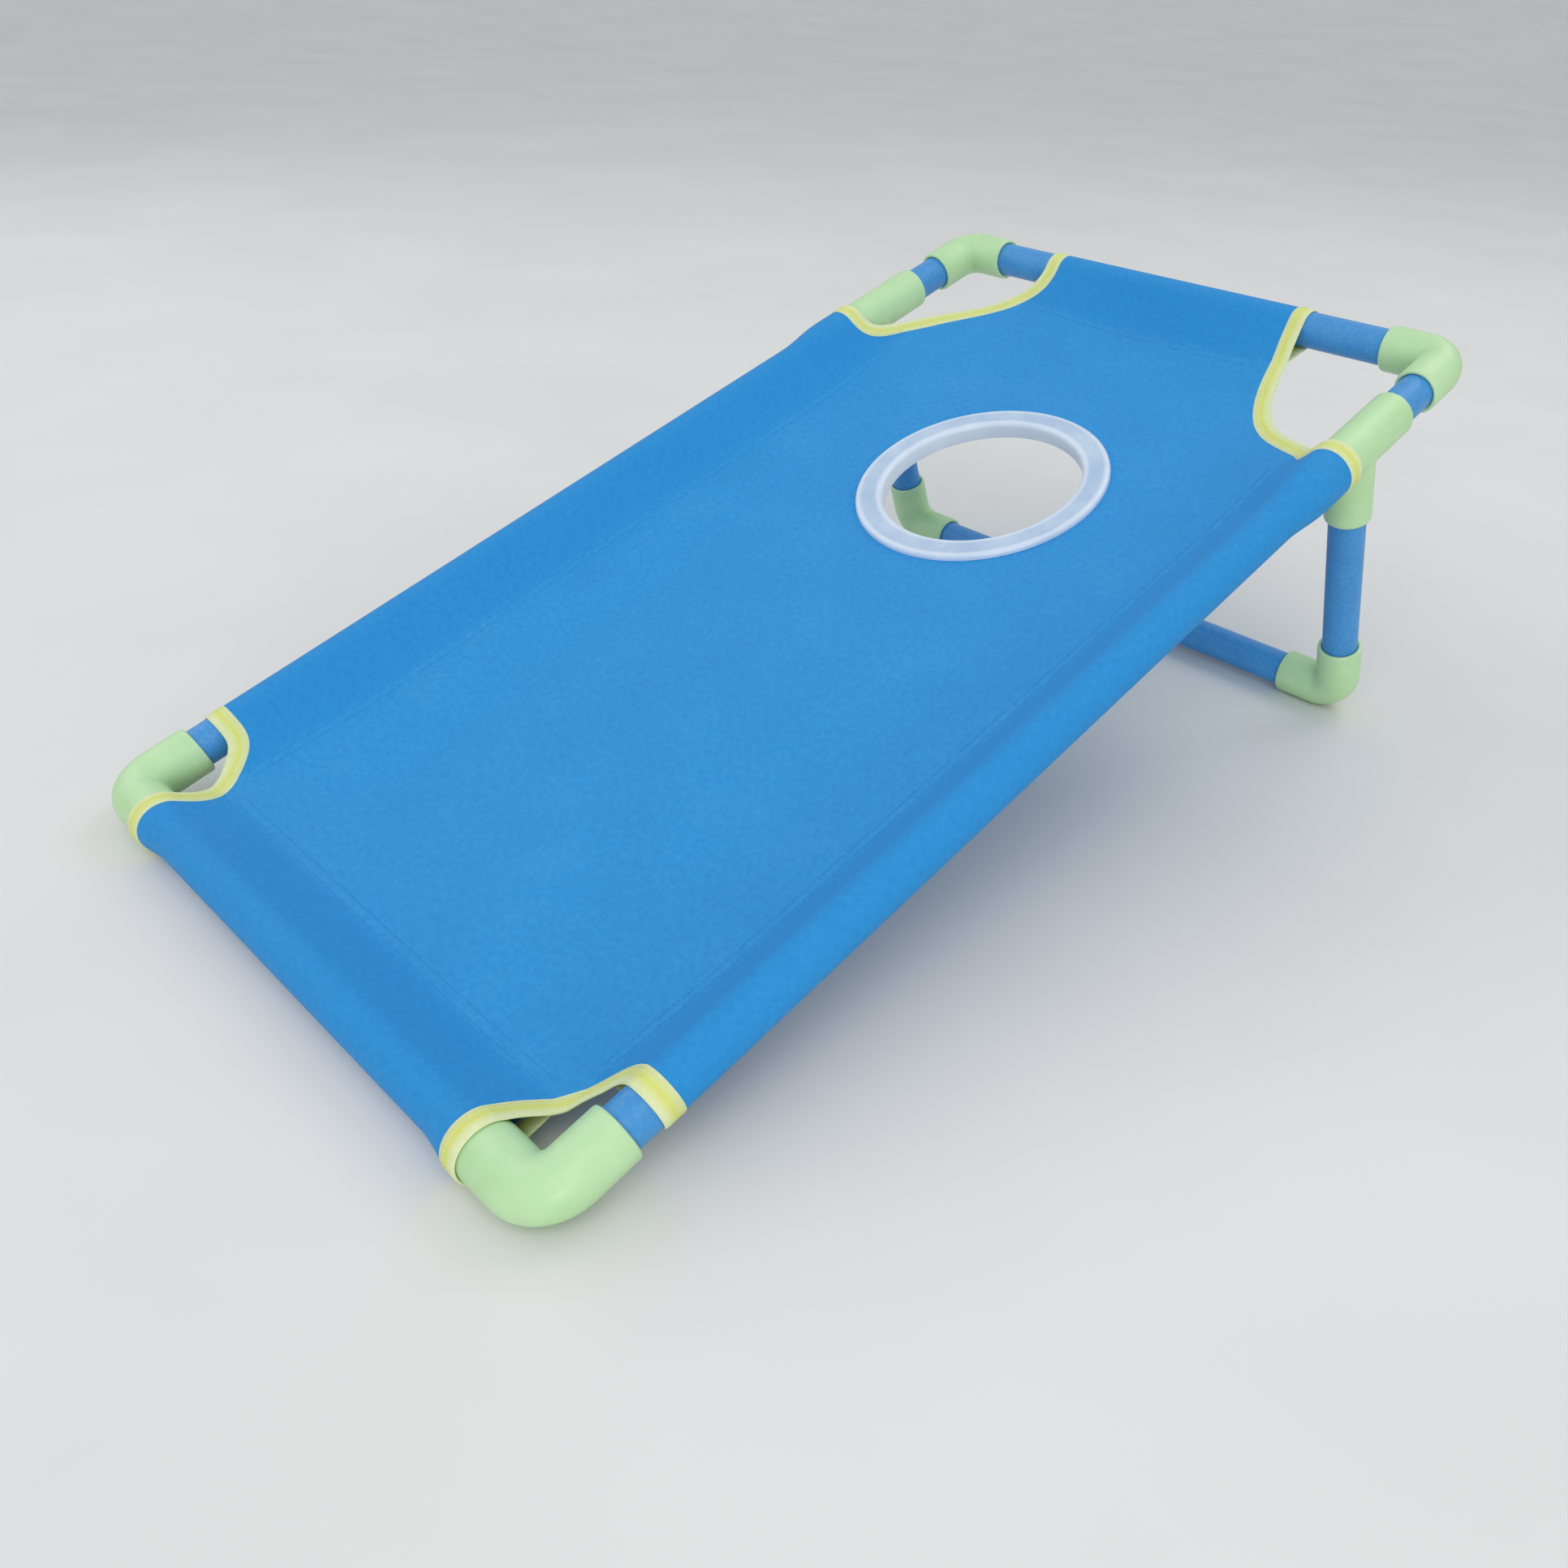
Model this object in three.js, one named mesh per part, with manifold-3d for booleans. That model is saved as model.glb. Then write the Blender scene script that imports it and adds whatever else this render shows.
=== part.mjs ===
// Folding-frame bag-toss board: a push-fit tube frame, a sewn cover with a plastic hole ring,
// and a U-shaped rear leg that plugs into two tees.
// Millimetres. The board is modelled flat (x right, y front to rear, z out of the board) and
// tilted at the end so that it stands on the floor with +Z up.
import * as THREE from 'three';
import * as BufferGeometryUtils from 'three/addons/utils/BufferGeometryUtils.js';
import Module from 'manifold-3d';

const wasm = await Module();
wasm.setup();

// ---- sizes ----
const SIDES = 24;
const GAP = 0.3;
const PIPE_R = 13.35;
const PIPE_WALL = 2.9;
const FIT_R = 16.75;
const SOCKET_R = 13.8;
const SOCKET_DEPTH = 24;
const PIPE_STOP = 0.4;
const ELBOW_END = 47;
const ELBOW_BEND = 19;
const TEE_END = 54;

const FRAME_W = 470;
const FRAME_L = 827;
const LEG_Y = 695;
const LEG_H = 220;

const CLOTH = 0.9;
const SLEEVE_R = 18.0;
const REAR_SLEEVE_R = 14.9;
const SEAM_IN = 38;
const PANEL_T = 1.5;
const SEAM_Z = -17.25;
const SAG = 9.5;
const TAPE_W = 13;
const TAPE_EXTRA = 0.6;

const RING_Y = 570;
const HOLE_R = 76;
const RING_R = 97;
const RING_T = 2.6;
const RING_DROP = 8.5;
const BARREL_T = 2.2;
const BACK_RING_R = 94;
const FLAT_X = 110;
const FLAT_Y0 = 150;
const FLAT_Y1 = 682;

// Each corner cut-out: where it crosses the side rail and the end rail, measured inboard from
// the rail centrelines, and the two pull points that shape the curve between them.
const FRONT_CUT = { side: 63, end: 43, p1: [26, 53], p2: [36, 41] };
const REAR_LEFT_CUT = { side: 154, end: 103, p1: [48, 76], p2: [30, 104] };
const REAR_RIGHT_CUT = { side: 150, end: 114, p1: [38, 106], p2: [98, 140] };

const HX = FRAME_W / 2;
const RESERVE = 60;

// ---- materials ----
function material(name, colour, roughness) {
  const m = new THREE.MeshStandardMaterial({ color: new THREE.Color(colour), roughness, metalness: 0 });
  m.name = name;
  return m;
}
const PAINT = {
  tube_blue: ['#2f84c2', 0.35],
  fitting_green: ['#abd59c', 0.4],
  cover_fabric: ['#3b90d3', 0.75],
  binding_tape: ['#d5de84', 0.7],
  ring_plastic: ['#bfcee6', 0.45],
};

// ---- helpers ----
function toSolid(geometry) {
  const g = geometry.clone();
  for (const key of Object.keys(g.attributes)) {
    if (key !== 'position') g.deleteAttribute(key);
  }
  const merged = BufferGeometryUtils.mergeVertices(g, 1e-4);
  const vertProperties = new Float32Array(merged.attributes.position.array);
  const triVerts = new Uint32Array(merged.index.array);
  return new wasm.Manifold(new wasm.Mesh({ numProp: 3, vertProperties, triVerts }));
}

function toGeometry(solid) {
  const mesh = solid.getMesh();
  const count = mesh.vertProperties.length / mesh.numProp;
  const positions = new Float32Array(count * 3);
  for (let i = 0; i < count; i += 1) {
    for (let k = 0; k < 3; k += 1) positions[3 * i + k] = mesh.vertProperties[i * mesh.numProp + k];
  }
  const g = new THREE.BufferGeometry();
  g.setAttribute('position', new THREE.BufferAttribute(positions, 3));
  g.setIndex(Array.from(mesh.triVerts));
  const flat = g.toNonIndexed();
  flat.computeVertexNormals();
  return flat;
}

function union(solids) {
  return solids.reduce((a, b) => a.add(b));
}

function v3(x, y, z) {
  return new THREE.Vector3(x, y, z);
}

// A closed swept body: one ring of points per station, capped at both ends. Every station has a
// centre, two section directions and a radius. With loop set, the last ring joins the first.
function sweep(stations, phase = 0, loop = false) {
  const positions = [];
  const index = [];
  for (const s of stations) {
    for (let i = 0; i < SIDES; i += 1) {
      const a = phase + (2 * Math.PI * (i + 0.5)) / SIDES;
      const p = s.c.clone();
      p.addScaledVector(s.a, s.r * Math.cos(a));
      p.addScaledVector(s.b, s.r * Math.sin(a));
      positions.push(p.x, p.y, p.z);
    }
  }
  const n = stations.length;
  const spans = loop ? n : n - 1;
  for (let k = 0; k < spans; k += 1) {
    const base = k * SIDES;
    const next = ((k + 1) % n) * SIDES;
    for (let i = 0; i < SIDES; i += 1) {
      const j = (i + 1) % SIDES;
      index.push(base + i, base + j, next + j);
      index.push(base + i, next + j, next + i);
    }
  }
  if (!loop) {
    const last = (n - 1) * SIDES;
    for (let i = 1; i < SIDES - 1; i += 1) {
      index.push(0, i + 1, i);
      index.push(last, last + i, last + i + 1);
    }
  }
  const g = new THREE.BufferGeometry();
  g.setAttribute('position', new THREE.Float32BufferAttribute(positions, 3));
  g.setIndex(index);
  return g;
}

// Section directions for a straight run along one of the three axes, a x b = axis.
const AXES = {
  x: { a: v3(0, 1, 0), b: v3(0, 0, 1), dir: v3(1, 0, 0) },
  y: { a: v3(0, 0, 1), b: v3(1, 0, 0), dir: v3(0, 1, 0) },
  z: { a: v3(1, 0, 0), b: v3(0, 1, 0), dir: v3(0, 0, 1) },
};

function run(axis, centre, from, to, r, phase = 0) {
  const { a, b, dir } = AXES[axis];
  const at = (d) => centre.clone().addScaledVector(dir, d);
  return sweep([{ c: at(from), a, b, r }, { c: at(to), a, b, r }], phase);
}

// Hollow pipe: outer and inner rings joined at both ends.
function pipe(axis, centre, from, to, phase = 0, rOut = PIPE_R, rIn = PIPE_R - PIPE_WALL) {
  const { a, b, dir } = AXES[axis];
  const at = (d) => centre.clone().addScaledVector(dir, d);
  const stations = [
    { c: at(from), a, b, r: rOut },
    { c: at(to), a, b, r: rOut },
    { c: at(to), a, b, r: rIn },
    { c: at(from), a, b, r: rIn },
  ];
  return sweep(stations, phase, true);
}

// Stations of a right-angle bend at a corner. d1 and d2 point from the corner along the arms.
function bendStations(corner, d1, d2, reach, r) {
  const side = d2.clone().cross(d1).normalize();
  const stations = [];
  const push = (c, tangent) => stations.push({ c, a: side, b: tangent.clone().cross(side), r });
  const into = d1.clone().negate();
  push(corner.clone().addScaledVector(d1, reach), into);
  const steps = 6;
  for (let i = 0; i <= steps; i += 1) {
    const t = (Math.PI / 2) * (i / steps);
    const c = corner.clone();
    c.addScaledVector(d1, ELBOW_BEND * (1 - Math.sin(t)));
    c.addScaledVector(d2, ELBOW_BEND * (1 - Math.cos(t)));
    const tangent = into.clone().multiplyScalar(Math.cos(t)).addScaledVector(d2, Math.sin(t));
    push(c, tangent);
  }
  push(corner.clone().addScaledVector(d2, reach), d2);
  return stations;
}

// Straight arm of a fitting from one distance to another along a direction.
function arm(corner, dir, from, to, r, side, phase) {
  const b = dir.clone().cross(side);
  const at = (d) => corner.clone().addScaledVector(dir, d);
  return sweep([{ c: at(from), a: side, b, r }, { c: at(to), a: side, b, r }], phase);
}

function elbow(corner, d1, d2, phase = 0) {
  const side = d2.clone().cross(d1).normalize();
  const outer = toSolid(sweep(bendStations(corner, d1, d2, ELBOW_END, FIT_R), phase));
  const bore = toSolid(sweep(bendStations(corner, d1, d2, ELBOW_END + 1, PIPE_R - PIPE_WALL), phase));
  const from = ELBOW_END - SOCKET_DEPTH;
  const s1 = toSolid(arm(corner, d1, from, ELBOW_END + 1, SOCKET_R, side, phase));
  const s2 = toSolid(arm(corner, d2, from, ELBOW_END + 1, SOCKET_R, side, phase));
  return toGeometry(outer.subtract(union([bore, s1, s2])));
}

// Tee: straight run along y and a branch pointing down out of the board.
function tee(centre) {
  const down = v3(0, 0, -1);
  const side = v3(1, 0, 0);
  const outer = toSolid(run('y', centre, -TEE_END, TEE_END, FIT_R));
  const branch = toSolid(arm(centre, down, 0, TEE_END, FIT_R, side, 0));
  const inner = PIPE_R - PIPE_WALL;
  const from = TEE_END - SOCKET_DEPTH;
  const cuts = [
    toSolid(run('y', centre, -TEE_END - 1, TEE_END + 1, inner)),
    toSolid(run('y', centre, from, TEE_END + 1, SOCKET_R)),
    toSolid(run('y', centre, -TEE_END - 1, -from, SOCKET_R)),
    toSolid(arm(centre, down, 0, TEE_END + 1, inner, side, 0)),
    toSolid(arm(centre, down, from, TEE_END + 1, SOCKET_R, side, 0)),
  ];
  return toGeometry(outer.add(branch).subtract(union(cuts)));
}

// ---- cover ----
// Sleeve section in the plane across a rail: a round loop of cloth drawn in to the seam.
// d is the distance inboard of the rail, h the height.
function dropOutline(r, tipIn, tipLow, tipHigh) {
  const points = [];
  const lowStart = -Math.PI / 2;
  const reach = Math.hypot(tipIn, tipHigh);
  const tangent = Math.atan2(tipHigh, tipIn) + Math.acos(r / reach);
  const count = 22;
  const sweepAngle = 2 * Math.PI - (tangent - lowStart);
  for (let i = 0; i <= count; i += 1) {
    const a = tangent + (sweepAngle * i) / count;
    points.push([r * Math.cos(a), r * Math.sin(a)]);
  }
  points.push([tipIn, tipLow]);
  if (tipHigh - tipLow > 0.01) points.push([tipIn, tipHigh]);
  return points;
}

// ---- standing angle ----
// The board stands on the tape around its front rail and on the flats under its two feet.
const FACET = Math.cos(Math.PI / SIDES);
const FOOT_REST = FIT_R * FACET;
const SPAN = Math.hypot(LEG_Y, LEG_H);
const ROUGH_TILT = Math.atan2(LEG_H, LEG_Y);

function frontRest() {
  const low = SEAM_Z - PANEL_T / 2 - TAPE_EXTRA;
  const high = SEAM_Z + PANEL_T / 2 + TAPE_EXTRA;
  const outline = dropOutline(SLEEVE_R + TAPE_EXTRA, SEAM_IN, low, high);
  const depths = outline.map(([d, h]) => -d * Math.sin(ROUGH_TILT) - h * Math.cos(ROUGH_TILT));
  return Math.max(...depths);
}

const TILT = ROUGH_TILT - Math.asin((frontRest() - FOOT_REST) / SPAN);

// Extrude a section along a rail. place maps (d, h, along) to a point of the board.
function extrudeDrop(points, from, to, place) {
  const n = points.length;
  const positions = [];
  const index = [];
  for (const s of [from, to]) {
    for (const [d, h] of points) positions.push(...place(d, h, s));
  }
  for (let i = 0; i < n; i += 1) {
    const j = (i + 1) % n;
    index.push(i, j, n + j, i, n + j, n + i);
  }
  const shape = points.map(([d, h]) => new THREE.Vector2(d, h));
  const cap = THREE.ShapeUtils.triangulateShape(shape, []);
  for (const [a, b, c] of cap) {
    index.push(c, b, a);
    index.push(n + a, n + b, n + c);
  }
  const g = new THREE.BufferGeometry();
  g.setAttribute('position', new THREE.Float32BufferAttribute(positions, 3));
  g.setIndex(index);
  return g;
}

// Turn a geometry outside out if its faces point inwards.
function outward(geometry) {
  const p = geometry.attributes.position;
  const idx = geometry.index;
  let volume = 0;
  const [a, b, c] = [new THREE.Vector3(), new THREE.Vector3(), new THREE.Vector3()];
  for (let i = 0; i < idx.count; i += 3) {
    a.fromBufferAttribute(p, idx.getX(i));
    b.fromBufferAttribute(p, idx.getX(i + 1));
    c.fromBufferAttribute(p, idx.getX(i + 2));
    volume += a.dot(b.clone().cross(c));
  }
  if (volume < 0) {
    const flipped = Array.from(idx.array);
    for (let i = 0; i < flipped.length; i += 3) {
      [flipped[i + 1], flipped[i + 2]] = [flipped[i + 2], flipped[i + 1]];
    }
    geometry.setIndex(flipped);
  }
  return geometry;
}

const RAILS = {
  left: { r: SLEEVE_R, from: 0, to: FRAME_L, place: (d, h, s) => [-HX + d, s, h] },
  right: { r: SLEEVE_R, from: 0, to: FRAME_L, place: (d, h, s) => [HX - d, s, h] },
  front: { r: SLEEVE_R, from: -HX, to: HX, place: (d, h, s) => [s, d, h] },
  rear: { r: REAR_SLEEVE_R, from: -HX, to: HX, place: (d, h, s) => [s, FRAME_L - d, h] },
};

function dropSolid(rail, extra, inner) {
  const low = SEAM_Z - PANEL_T / 2 - extra;
  const high = SEAM_Z + PANEL_T / 2 + extra;
  const points = inner
    ? dropOutline(rail.r - CLOTH, SEAM_IN - 3, SEAM_Z - 0.05, SEAM_Z + 0.05)
    : dropOutline(rail.r + extra, SEAM_IN, low, high);
  const spare = inner ? RESERVE : 0;
  return toSolid(outward(extrudeDrop(points, rail.from - spare, rail.to + spare, rail.place)));
}

function ease(t) {
  const c = Math.min(1, Math.max(0, t));
  return 0.5 - 0.5 * Math.cos(Math.PI * c);
}

const IN = SEAM_IN - 1.4;

// Height of the middle of the deck cloth: level at the seams, hanging lower in the middle.
function deckHeight(x, y) {
  const sx = ease((HX - IN - Math.abs(x)) / (HX - IN - FLAT_X));
  const sf = ease((y - IN) / (FLAT_Y0 - IN));
  const sr = ease((FRAME_L - IN - y) / (FRAME_L - IN - FLAT_Y1));
  return SEAM_Z - SAG * sx * Math.min(sf, sr);
}

function lineSet(stops, counts) {
  const out = [stops[0]];
  for (let k = 0; k < counts.length; k += 1) {
    for (let i = 1; i <= counts[k]; i += 1) {
      out.push(stops[k] + ((stops[k + 1] - stops[k]) * i) / counts[k]);
    }
  }
  return out;
}

// A thin closed sheet over a grid, following deckHeight.
function deckSheet(half) {
  const xs = lineSet([-HX + IN, -FLAT_X, FLAT_X, HX - IN], [6, 1, 6]);
  const ys = lineSet([IN, FLAT_Y0, FLAT_Y1, FRAME_L - IN], [6, 1, 6]);
  const nx = xs.length;
  const ny = ys.length;
  const positions = [];
  const index = [];
  for (const s of [1, -1]) {
    for (let j = 0; j < ny; j += 1) {
      for (let i = 0; i < nx; i += 1) positions.push(xs[i], ys[j], deckHeight(xs[i], ys[j]) + s * half);
    }
  }
  const top = (i, j) => j * nx + i;
  const low = (i, j) => nx * ny + j * nx + i;
  for (let j = 0; j < ny - 1; j += 1) {
    for (let i = 0; i < nx - 1; i += 1) {
      index.push(top(i, j), top(i + 1, j), top(i + 1, j + 1));
      index.push(top(i, j), top(i + 1, j + 1), top(i, j + 1));
      index.push(low(i, j), low(i + 1, j + 1), low(i + 1, j));
      index.push(low(i, j), low(i, j + 1), low(i + 1, j + 1));
    }
  }
  const wall = (t0, t1, b0, b1) => index.push(t0, b0, b1, t0, b1, t1);
  for (let i = 0; i < nx - 1; i += 1) {
    wall(top(i, 0), top(i + 1, 0), low(i, 0), low(i + 1, 0));
    wall(top(i + 1, ny - 1), top(i, ny - 1), low(i + 1, ny - 1), low(i, ny - 1));
  }
  for (let j = 0; j < ny - 1; j += 1) {
    wall(top(nx - 1, j), top(nx - 1, j + 1), low(nx - 1, j), low(nx - 1, j + 1));
    wall(top(0, j + 1), top(0, j), low(0, j + 1), low(0, j));
  }
  const g = new THREE.BufferGeometry();
  g.setAttribute('position', new THREE.Float32BufferAttribute(positions, 3));
  g.setIndex(index);
  return outward(g);
}

function coverSolid(extra) {
  const rails = Object.values(RAILS);
  const outer = union(rails.map((r) => dropSolid(r, extra, false)));
  const inner = union(rails.map((r) => dropSolid(r, extra, true)));
  const sheet = toSolid(deckSheet(PANEL_T / 2 + extra));
  return outer.add(sheet).subtract(inner);
}

// Cut-out edge from side rail to end rail, in corner coordinates (inboard of each rail).
function cutCurve(cut) {
  const a = new THREE.Vector2(20, cut.side);
  const b = new THREE.Vector2(cut.end, 20);
  const mid = new THREE.CubicBezierCurve(a, new THREE.Vector2(...cut.p1), new THREE.Vector2(...cut.p2), b);
  const points = [new THREE.Vector2(-RESERVE, cut.side)];
  points.push(...mid.getPoints(14));
  points.push(new THREE.Vector2(cut.end, -RESERVE));
  return points;
}

// The curve moved inboard by a distance, away from the corner.
function offsetCurve(points, distance) {
  return points.map((p, i) => {
    const before = points[Math.max(0, i - 1)];
    const after = points[Math.min(points.length - 1, i + 1)];
    const dir = after.clone().sub(before).normalize();
    return new THREE.Vector2(p.x - dir.y * distance, p.y + dir.x * distance);
  });
}

// Upright prism over a plan outline at one corner. sx, sy tell which corner.
function prism(outline, corner) {
  const place = (p) => new THREE.Vector2(corner.x + p.x * corner.sx, corner.y + p.y * corner.sy);
  const shape = new THREE.Shape(outline.map(place));
  const g = new THREE.ExtrudeGeometry(shape, { depth: 120, bevelEnabled: false, steps: 1 });
  g.translate(0, 0, -60);
  return toSolid(g);
}

const CORNERS = {
  front_left: { x: -HX, y: 0, sx: 1, sy: 1, cut: FRONT_CUT },
  front_right: { x: HX, y: 0, sx: -1, sy: 1, cut: FRONT_CUT },
  rear_left: { x: -HX, y: FRAME_L, sx: 1, sy: -1, cut: REAR_LEFT_CUT },
  rear_right: { x: HX, y: FRAME_L, sx: -1, sy: -1, cut: REAR_RIGHT_CUT },
};

function cutPrism(corner, distance) {
  const outline = offsetCurve(cutCurve(corner.cut), distance);
  outline.push(new THREE.Vector2(-RESERVE - 1, -RESERVE - 1));
  return prism(outline, corner);
}

function tapePrism(corner) {
  const edge = cutCurve(corner.cut);
  const back = offsetCurve(edge, TAPE_W).reverse();
  return prism([...edge, ...back], corner);
}

function boxSolid(x0, x1, y0, y1, z0, z1) {
  const g = new THREE.BoxGeometry(x1 - x0, y1 - y0, z1 - z0);
  g.translate((x0 + x1) / 2, (y0 + y1) / 2, (z0 + z1) / 2);
  return toSolid(g);
}

const cuts = union(Object.values(CORNERS).map((c) => cutPrism(c, TAPE_W + GAP)));
const cloth = coverSolid(0).subtract(cuts);
const SX = HX - SEAM_IN;
const G2 = GAP / 2;
const centre = v3(0, RING_Y, 0);
const zone = {
  deck_panel: boxSolid(-SX + G2, SX - G2, SEAM_IN + G2, FRAME_L - SEAM_IN - G2, -60, 60),
  sleeve_left: boxSolid(-HX - 40, -SX - G2, SEAM_IN + G2, FRAME_L - SEAM_IN - G2, -60, 60),
  sleeve_right: boxSolid(SX + G2, HX + 40, SEAM_IN + G2, FRAME_L - SEAM_IN - G2, -60, 60),
  sleeve_front: boxSolid(-SX + G2, SX - G2, -40, SEAM_IN - G2, -60, 60),
  sleeve_rear: boxSolid(-SX + G2, SX - G2, FRAME_L - SEAM_IN + G2, FRAME_L + 40, -60, 60),
};
const tapes = coverSolid(TAPE_EXTRA);

// ---- hole ring ----
const RING_SIDES = 64;
function latheRing(profile) {
  const points = profile.map(([r, z]) => new THREE.Vector2(r, z));
  points.push(points[0].clone());
  const g = new THREE.LatheGeometry(points, RING_SIDES);
  g.rotateX(Math.PI / 2);
  g.translate(0, RING_Y, 0);
  return toGeometry(toSolid(outward(BufferGeometryUtils.mergeVertices(strip(g), 1e-4))));
}

function strip(geometry) {
  const g = geometry.clone();
  g.deleteAttribute('normal');
  g.deleteAttribute('uv');
  return g;
}

const DECK_TOP = SEAM_Z - SAG + PANEL_T / 2;
const DECK_LOW = SEAM_Z - SAG - PANEL_T / 2;
const BARREL_R = HOLE_R + BARREL_T;

function topRing() {
  const z0 = DECK_TOP + GAP;
  const z1 = z0 + RING_T;
  return latheRing([
    [HOLE_R, z1 - 1.2],
    [HOLE_R, z1 - RING_T - RING_DROP],
    [BARREL_R, z1 - RING_T - RING_DROP],
    [BARREL_R, z0],
    [RING_R, z0],
    [RING_R, z1 - 1.4],
    [RING_R - 1.4, z1],
    [HOLE_R + 1.2, z1],
  ]);
}

function backRing() {
  const z1 = DECK_LOW - GAP;
  const z0 = z1 - RING_T;
  const inner = BARREL_R + GAP;
  return latheRing([
    [inner, z1],
    [inner, z0],
    [BACK_RING_R - 1.2, z0],
    [BACK_RING_R, z0 + 1.2],
    [BACK_RING_R, z1],
  ]);
}

// ---- assembly ----
const group = new THREE.Group();
group.name = 'bag_toss_board';

function add(name, geometry, slot) {
  const mesh = new THREE.Mesh(geometry, material(slot, ...PAINT[slot]));
  mesh.name = name;
  group.add(mesh);
}

const STOP = ELBOW_END - SOCKET_DEPTH + PIPE_STOP;
const TEE_STOP = TEE_END - SOCKET_DEPTH + PIPE_STOP;
const LEVEL = TILT;

add('front_rail', pipe('x', v3(0, 0, 0), -HX + STOP, HX - STOP, LEVEL), 'tube_blue');
add('rear_rail', pipe('x', v3(0, FRAME_L, 0), -HX + STOP, HX - STOP, LEVEL), 'tube_blue');
add('leg_cross_tube', pipe('x', v3(0, LEG_Y, -LEG_H), -HX + STOP, HX - STOP, LEVEL), 'tube_blue');

for (const [side, s] of [['left', -1], ['right', 1]]) {
  const x = s * HX;
  const inward = v3(-s, 0, 0);
  const back = v3(0, 1, 0);
  const front = v3(0, -1, 0);
  const up = v3(0, 0, 1);
  add(`side_rail_${side}`, pipe('y', v3(x, 0, 0), STOP, LEG_Y - TEE_STOP), 'tube_blue');
  add(`rear_stub_${side}`, pipe('y', v3(x, 0, 0), LEG_Y + TEE_STOP, FRAME_L - STOP), 'tube_blue');
  add(`leg_tube_${side}`, pipe('z', v3(x, LEG_Y, 0), -LEG_H + STOP, -TEE_STOP), 'tube_blue');
  add(`front_elbow_${side}`, elbow(v3(x, 0, 0), inward, back), 'fitting_green');
  add(`rear_elbow_${side}`, elbow(v3(x, FRAME_L, 0), inward, front), 'fitting_green');
  add(`leg_tee_${side}`, tee(v3(x, LEG_Y, 0)), 'fitting_green');
  const footPhase = s > 0 ? -LEVEL : LEVEL;
  add(`leg_elbow_${side}`, elbow(v3(x, LEG_Y, -LEG_H), inward, up, footPhase), 'fitting_green');
}

const bagHole = toSolid(run('z', centre, -60, 60, BARREL_R + 1));
for (const [name, box] of Object.entries(zone)) {
  let solid = cloth.intersect(box);
  if (name === 'deck_panel') solid = solid.subtract(bagHole);
  add(name, toGeometry(solid), 'cover_fabric');
}
for (const [name, corner] of Object.entries(CORNERS)) {
  add(`binding_${name}`, toGeometry(tapes.intersect(tapePrism(corner))), 'binding_tape');
}
add('hole_ring', topRing(), 'ring_plastic');
add('hole_back_ring', backRing(), 'ring_plastic');

// Stand the board on the floor: tilt, then centre the footprint and set the lowest point to zero.
for (const mesh of group.children) {
  mesh.geometry.rotateX(TILT);
}
const bounds = new THREE.Box3().setFromObject(group);
const shift = v3(-(bounds.min.x + bounds.max.x) / 2, -(bounds.min.y + bounds.max.y) / 2, -bounds.min.z);
for (const mesh of group.children) {
  mesh.geometry.translate(shift.x, shift.y, shift.z);
  mesh.geometry.computeVertexNormals();
}

export default group;
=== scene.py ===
"""Looks for the push-fit tube-frame bag-toss board.

Lengths are metres. The board's own directions are read from the frame: u to the right, v up the
slope from the front rail's centreline, w out of the board. The cloth cover is worked out in its
own flat coordinates (s across, t along) and then wrapped round the rails.
"""

import math

import bpy
import numpy as np
from mathutils import Matrix, Vector


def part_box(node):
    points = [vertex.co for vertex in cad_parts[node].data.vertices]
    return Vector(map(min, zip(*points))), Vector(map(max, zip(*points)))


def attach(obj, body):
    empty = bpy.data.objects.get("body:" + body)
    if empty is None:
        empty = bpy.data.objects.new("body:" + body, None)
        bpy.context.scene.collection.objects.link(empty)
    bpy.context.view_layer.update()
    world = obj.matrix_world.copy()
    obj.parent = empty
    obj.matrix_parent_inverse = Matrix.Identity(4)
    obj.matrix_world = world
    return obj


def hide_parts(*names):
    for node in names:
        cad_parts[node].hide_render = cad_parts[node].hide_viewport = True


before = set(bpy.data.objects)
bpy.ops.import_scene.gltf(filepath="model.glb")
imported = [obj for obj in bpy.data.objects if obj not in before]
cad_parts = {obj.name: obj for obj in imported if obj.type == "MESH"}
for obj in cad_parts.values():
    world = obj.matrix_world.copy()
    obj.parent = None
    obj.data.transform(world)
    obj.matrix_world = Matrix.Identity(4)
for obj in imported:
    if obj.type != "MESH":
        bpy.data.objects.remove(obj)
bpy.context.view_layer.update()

MM = 0.001


def middle(node):
    low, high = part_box(node)
    return (low + high) / 2


# ---- sizes ----
FRONT = middle("front_rail")
REAR = middle("rear_rail")
RIGHT = Vector((1.0, 0.0, 0.0))
ALONG = (REAR - FRONT).normalized()
OUT = RIGHT.cross(ALONG)
LENGTH = (REAR - FRONT).length
HALF_W = middle("side_rail_right").x
LEG = middle("leg_cross_tube") - FRONT
LEG_V = LEG.dot(ALONG)
LEG_W = LEG.dot(OUT)
RING_V = (middle("hole_back_ring") - FRONT).dot(ALONG)

PIPE_R = 13.35 * MM
BORE_R = 10.45 * MM
FIT_R = 16.75 * MM
SOCKET_R = 13.6 * MM
ELBOW_END = 47 * MM
ELBOW_BEND = 19 * MM
TEE_END = 54 * MM
SOCKET = 24 * MM
STOP = ELBOW_END - SOCKET + 0.4 * MM
TEE_STOP = TEE_END - SOCKET + 0.4 * MM

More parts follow.
